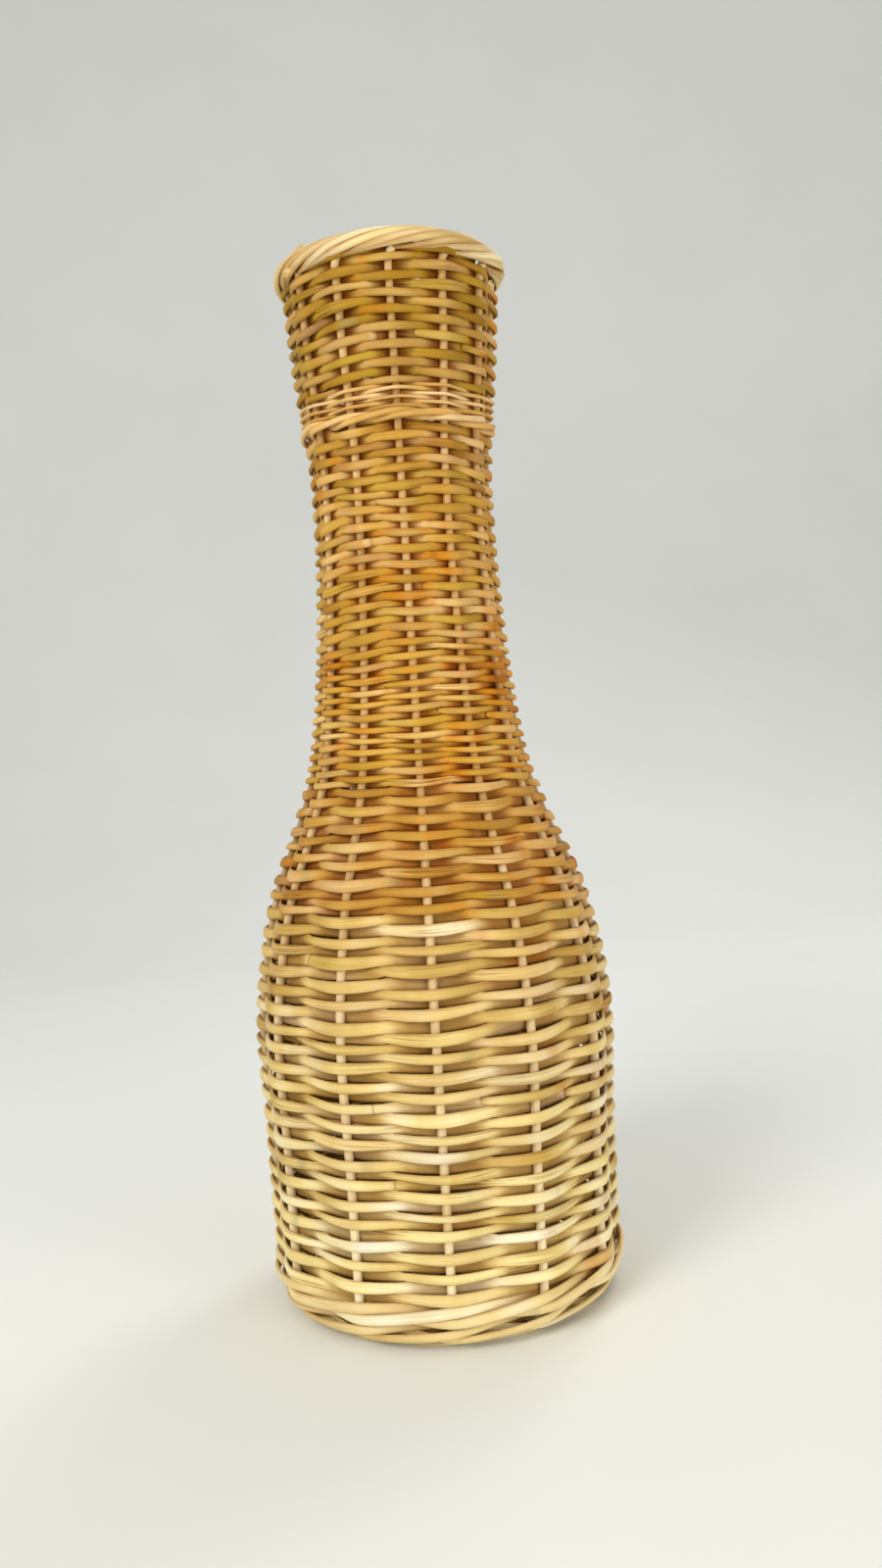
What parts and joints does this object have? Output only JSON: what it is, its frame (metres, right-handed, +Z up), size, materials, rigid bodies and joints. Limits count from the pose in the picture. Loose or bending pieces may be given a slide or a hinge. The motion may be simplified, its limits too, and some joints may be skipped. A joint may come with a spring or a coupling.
{
  "type": "wicker floor vase",
  "caption": "Tall woven cane floor vase with a wide straight body, a rounded shoulder, a long narrow neck, a slightly flared collar and a rolled rim.",
  "frame": {"origin": "middle of the foot, on the plane the vase stands on", "axes": "+Z up along the axis of the vase; -Y is the side the picture shows"},
  "size_m": [0.2116, 0.2116, 0.6008],
  "materials": {
    "stake_cane": "bare rattan cane, smooth, satin",
    "base_cane": "bare rattan cane, smooth, satin",
    "foot_cane": "bare rattan cane, smooth, satin",
    "body_cane": "bare rattan cane, smooth, satin",
    "shoulder_cane": "bare rattan cane, smooth, satin",
    "flare_cane": "bare rattan cane, smooth, satin",
    "neck_cane": "bare rattan cane, smooth, satin",
    "band_cane": "bare rattan cane, smooth, satin",
    "collar_cane": "bare rattan cane, smooth, satin"
  },
  "bodies": {
    "root": {"stake_cane_1": "stake_cane", "stake_cane_2": "stake_cane", "stake_cane_3": "stake_cane", "stake_cane_4": "stake_cane", "stake_cane_5": "stake_cane", "stake_cane_6": "stake_cane", "base_weaver_a": "base_cane", "base_weaver_b": "base_cane", "foot_band_1": "foot_cane", "foot_band_2": "foot_cane", "foot_band_3": "foot_cane", "body_weaver_a1": "body_cane", "body_weaver_a2": "body_cane", "body_weaver_a3": "body_cane", "body_weaver_a4": "body_cane", "body_weaver_a5": "body_cane", "body_weaver_a6": "body_cane", "body_weaver_a7": "body_cane", "body_weaver_a8": "body_cane", "body_weaver_b1": "body_cane", "body_weaver_b2": "body_cane", "body_weaver_b3": "body_cane", "body_weaver_b4": "body_cane", "body_weaver_b5": "body_cane", "body_weaver_b6": "body_cane", "body_weaver_b7": "body_cane", "body_weaver_b8": "body_cane", "shoulder_weaver_a1": "shoulder_cane", "shoulder_weaver_a2": "shoulder_cane", "shoulder_weaver_a3": "shoulder_cane", "shoulder_weaver_b1": "shoulder_cane", "shoulder_weaver_b2": "shoulder_cane", "shoulder_weaver_b3": "shoulder_cane", "flare_weaver_a1": "flare_cane", "flare_weaver_a2": "flare_cane", "flare_weaver_a3": "flare_cane", "flare_weaver_a4": "flare_cane", "flare_weaver_b1": "flare_cane", "flare_weaver_b2": "flare_cane", "flare_weaver_b3": "flare_cane", "flare_weaver_b4": "flare_cane", "neck_weaver_a1": "neck_cane", "neck_weaver_a2": "neck_cane", "neck_weaver_a3": "neck_cane", "neck_weaver_b1": "neck_cane", "neck_weaver_b2": "neck_cane", "neck_weaver_b3": "neck_cane", "neck_band_1": "band_cane", "neck_band_2": "band_cane", "neck_band_3": "band_cane", "fine_weaver_a": "band_cane", "fine_weaver_b": "band_cane", "collar_weaver_a1": "collar_cane", "collar_weaver_a2": "collar_cane", "collar_weaver_a3": "collar_cane", "collar_weaver_b1": "collar_cane", "collar_weaver_b2": "collar_cane", "collar_weaver_b3": "collar_cane"}
  },
  "joints": []
}
